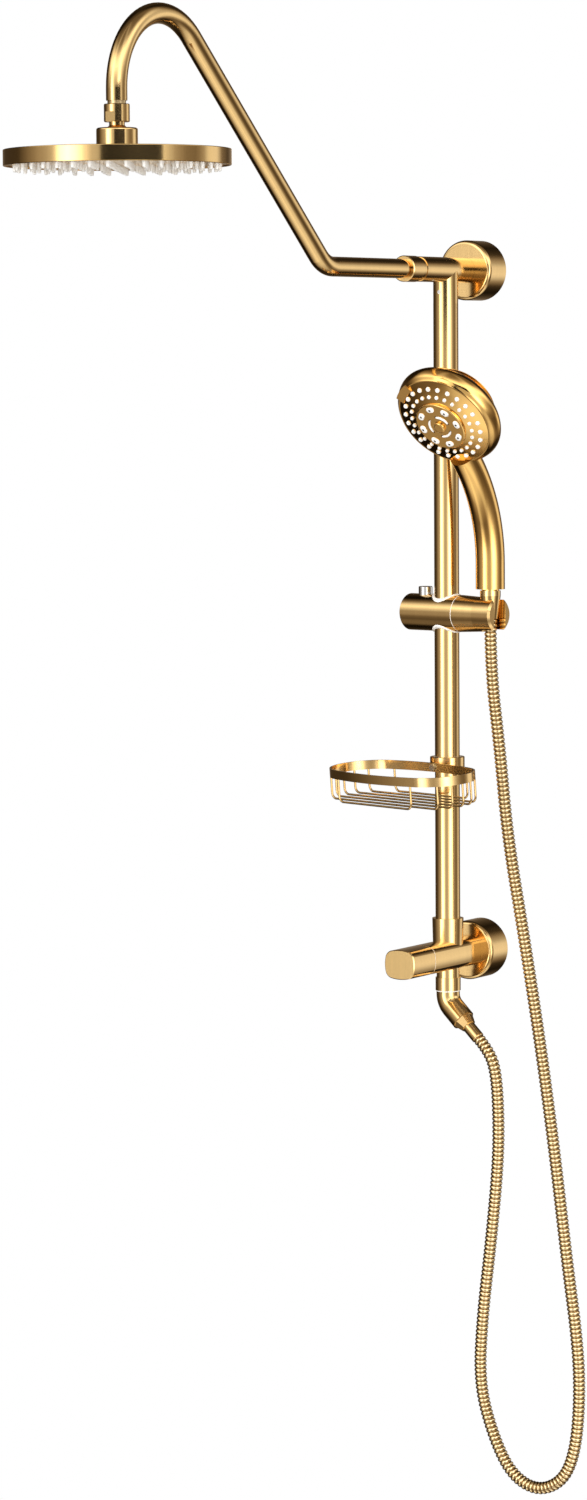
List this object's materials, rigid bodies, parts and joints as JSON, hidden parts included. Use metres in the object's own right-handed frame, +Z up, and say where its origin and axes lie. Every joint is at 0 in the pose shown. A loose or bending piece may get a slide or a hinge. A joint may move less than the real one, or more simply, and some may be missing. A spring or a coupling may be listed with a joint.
{
  "type": "wall-mounted rainfall shower column",
  "caption": "Wall-mounted shower column in brushed gold: round rain head on a bent arm, hand shower on a sliding holder, wire soap dish, diverter and flexible metal hose.",
  "frame": {"origin": "centre of the water inlet's mouth, on the wall plane behind the lower flange", "axes": "+Z up along the riser bar, +Y into the wall, +X along the wall towards the hose, to the right for a person facing the wall"},
  "size_m": [0.2669, 0.7331, 1.4577],
  "materials": {
    "gold_brass": "brushed gold",
    "raw_brass": "turned",
    "steel": "plain",
    "button_chrome": "polished",
    "white_silicone": "matt",
    "black_rubber": "matt",
    "white_nylon": "matt",
    "gold_abs": "metal plated, gold"
  },
  "bodies": {
    "column": {"upper_wall_flange": "gold_brass", "lower_wall_flange": "gold_brass", "upper_wall_bracket": "raw_brass", "bracket_grub_screw": "steel", "upper_tee": "gold_brass", "bar_joiner": "raw_brass", "tee_grub_screw": "steel", "arm_gland_ring": "gold_brass", "arm_nut": "gold_brass", "arm_seal": "black_rubber", "rain_arm": "gold_brass", "arm_nipple": "raw_brass", "swivel_nut": "gold_brass", "arm_filter_washer": "black_rubber", "swivel_ball": "gold_brass", "riser_bar": "gold_brass", "diverter_body": "gold_brass", "inlet_union": "raw_brass", "inlet_washer": "black_rubber", "diverter_cartridge": "white_nylon", "cartridge_retainer": "raw_brass", "knob_glide_ring": "white_nylon", "outlet_seam_ring": "white_nylon", "hose_elbow": "gold_brass", "hose_nut": "gold_brass", "hose_ferrule": "gold_brass"},
    "slider_carriage": {"slider_liner": "white_nylon", "shower_hose": "gold_brass"},
    "slider": {"slider_body": "gold_brass", "release_spring": "steel", "brake_shoe": "white_nylon", "pivot_stud": "steel", "seam_washer": "white_nylon"},
    "release_button": {"release_button": "button_chrome"},
    "cradle": {"cradle": "gold_brass"},
    "hand_shower": {"hand_shower_body": "gold_abs", "hose_cone_nut": "gold_brass", "handle_washer": "black_rubber"},
    "spray_dial": {"spray_dial": "gold_abs", "centre_plate": "gold_abs", "centre_nozzles": "white_silicone", "fine_nozzles": "white_silicone", "dial_hub": "gold_abs", "selector_lever": "gold_abs"},
    "head_gimbal": {"ball_seat": "white_nylon"},
    "rain_head": {"swivel_cup": "gold_brass", "rain_head_shell": "gold_brass", "rain_face_plate": "gold_brass", "rain_nozzle_mat": "white_silicone", "rain_mat_seal": "black_rubber"},
    "diverter_knob": {"diverter_knob": "gold_brass", "diverter_spindle": "raw_brass", "knob_grub_screw": "steel"},
    "dish_carriage": {"dish_sleeve": "white_nylon"},
    "soap_dish": {"dish_collar": "gold_brass", "dish_band": "gold_brass", "dish_wires": "gold_brass", "dish_screw": "steel"}
  },
  "joints": [
    {"name": "slider_slide", "type": "slide", "parent": "column", "child": "slider_carriage", "axis": [0, 0, 1], "range_m": [-0.11, 0.085], "deforming": ["shower_hose"]},
    {"name": "slider_turn", "type": "hinge", "parent": "slider_carriage", "child": "slider", "pos_m": [0, -0.068, 0.345], "axis": [0, 0, 1], "range_deg": [-60, 40]},
    {"name": "release_press", "type": "slide", "parent": "slider", "child": "release_button", "axis": [0, 0, -1], "range_m": [0, 0.003], "stiffness_N_per_m": 900, "springref_m": -0.002, "deforming": ["release_spring"]},
    {"name": "cradle_tilt", "type": "hinge", "parent": "slider", "child": "cradle", "pos_m": [0, -0.068, 0.345], "axis": [0.9863, -0.165, 0], "range_deg": [-8, 45]},
    {"name": "handset_lift", "type": "slide", "parent": "cradle", "child": "hand_shower", "axis": [0, 0, 1], "range_m": [0, 0.06]},
    {"name": "spray_dial_turn", "type": "hinge", "parent": "hand_shower", "child": "spray_dial", "pos_m": [0.05024, -0.15508, 0.5376], "axis": [-0.0613, -0.7963, -0.6018], "range_deg": [-48, 48]},
    {"name": "head_pitch", "type": "hinge", "parent": "column", "child": "head_gimbal", "pos_m": [0, -0.6315, 0.7975], "axis": [1, 0, 0], "range_deg": [-10, 10]},
    {"name": "head_roll", "type": "hinge", "parent": "head_gimbal", "child": "rain_head", "pos_m": [0, -0.6315, 0.7975], "axis": [0, 1, 0], "range_deg": [-10, 10]},
    {"name": "diverter_turn", "type": "hinge", "parent": "column", "child": "diverter_knob", "pos_m": [0, 0, 0], "axis": [0, 1, 0], "range_deg": [-90, 90]},
    {"name": "dish_slide", "type": "slide", "parent": "column", "child": "dish_carriage", "axis": [0, 0, 1], "range_m": [-0.1, 0.1]},
    {"name": "dish_swing", "type": "hinge", "parent": "dish_carriage", "child": "soap_dish", "pos_m": [0, -0.068, 0.1952], "axis": [0, 0, 1], "range_deg": [-45, 12]}
  ]
}
